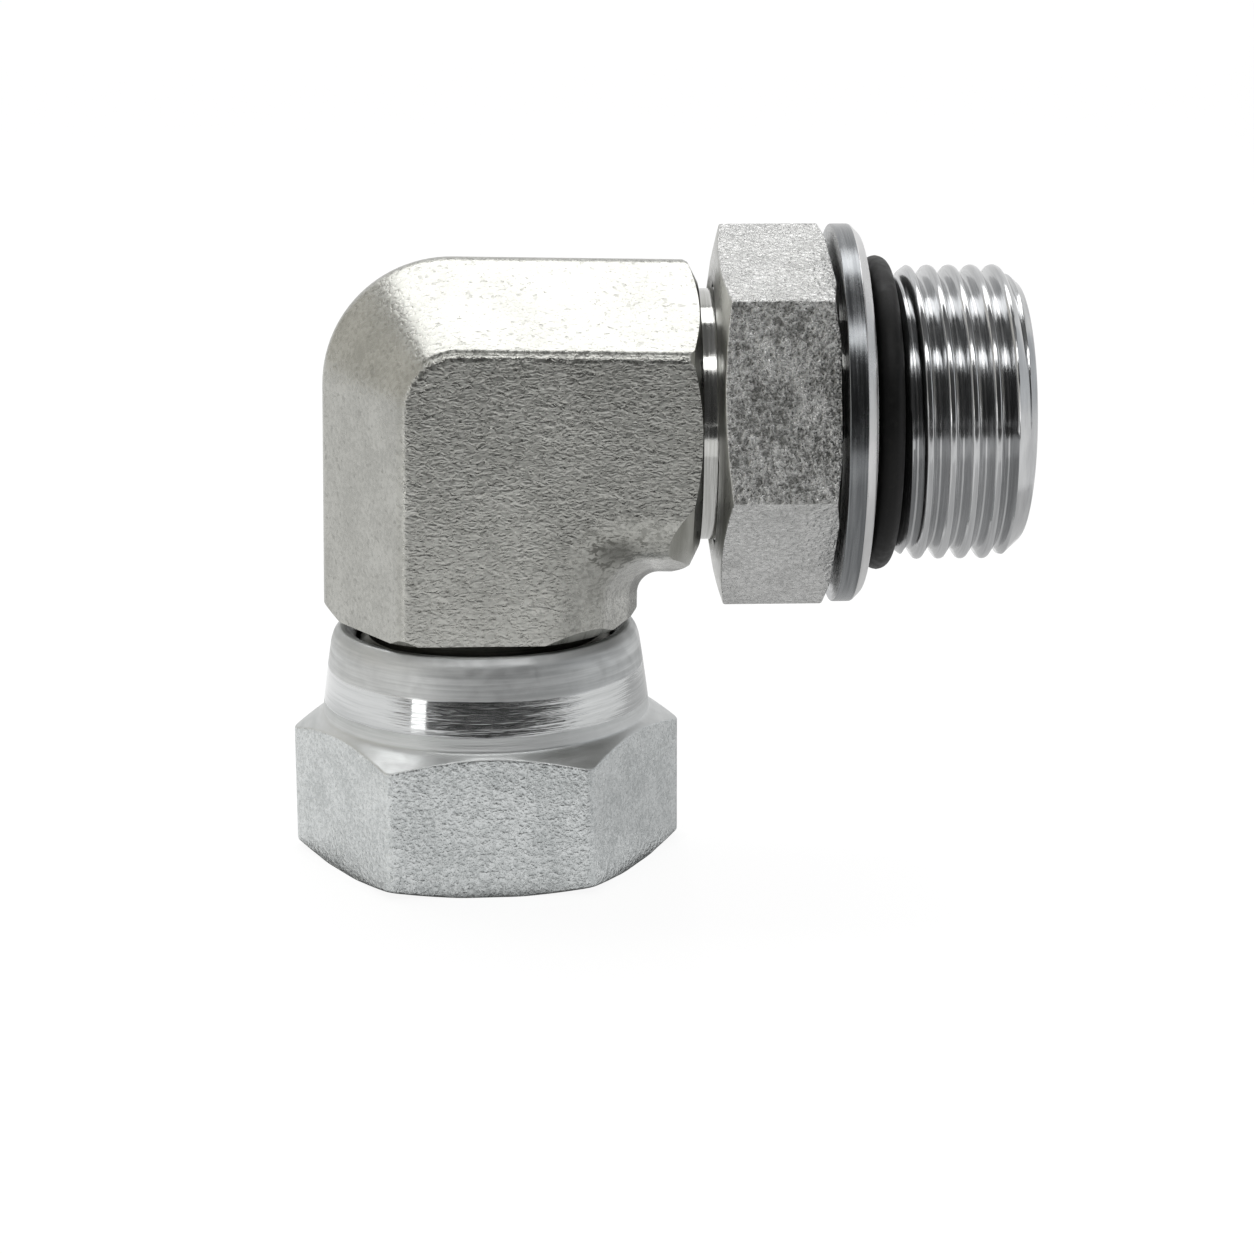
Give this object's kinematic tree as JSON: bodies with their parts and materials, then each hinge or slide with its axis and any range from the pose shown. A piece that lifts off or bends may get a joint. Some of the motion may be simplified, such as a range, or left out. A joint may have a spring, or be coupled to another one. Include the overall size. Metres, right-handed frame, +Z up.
{
  "type": "hydraulic elbow adapter",
  "caption": "Right-angle hydraulic adapter with a forged hexagonal body, an adjustable male stud with lock nut, backup washer and O-ring, and a female swivel nut.",
  "frame": {"origin": "middle of the whole box in X and Y, at the end face of the swivel nut, which the part stands on", "axes": "+X along the stud, away from the elbow; +Z up along the swivel leg, away from the swivel nut's mouth"},
  "size_m": [0.067, 0.0346, 0.058],
  "materials": {
    "forged_body": "zinc-plated forging, fine grain",
    "swivel_nut": "zinc-plated, turned collar and speckled flats",
    "lock_nut": "zinc-plated, speckled flats",
    "washer": "zinc-plated, turned, bright",
    "seal": "black nitrile rubber, satin"
  },
  "bodies": {
    "elbow": {"elbow_body": "forged_body", "o_ring": "seal"},
    "swivel": {"swivel_nut": "swivel_nut"},
    "washer": {"backup_washer": "washer"},
    "locknut": {"lock_nut": "lock_nut"}
  },
  "joints": [
    {"name": "swivel_spin", "type": "hinge", "parent": "elbow", "child": "swivel", "pos_m": [-0.01542, 0, 0.00575], "axis": [0, 0, 1], "continuous": true},
    {"name": "washer_slide", "type": "slide", "parent": "elbow", "child": "washer", "axis": [1, 0, 0], "range_m": [-0.00121, 0]},
    {"name": "lock_nut_turn", "type": "hinge", "parent": "washer", "child": "locknut", "pos_m": [0.01078, 0, 0.0407], "axis": [1, 0, 0], "range_deg": [-216, 0]}
  ],
  "couplings": [
    {"joint": "washer_slide", "follows": "lock_nut_turn", "m_per_rad": 0.00031831}
  ]
}
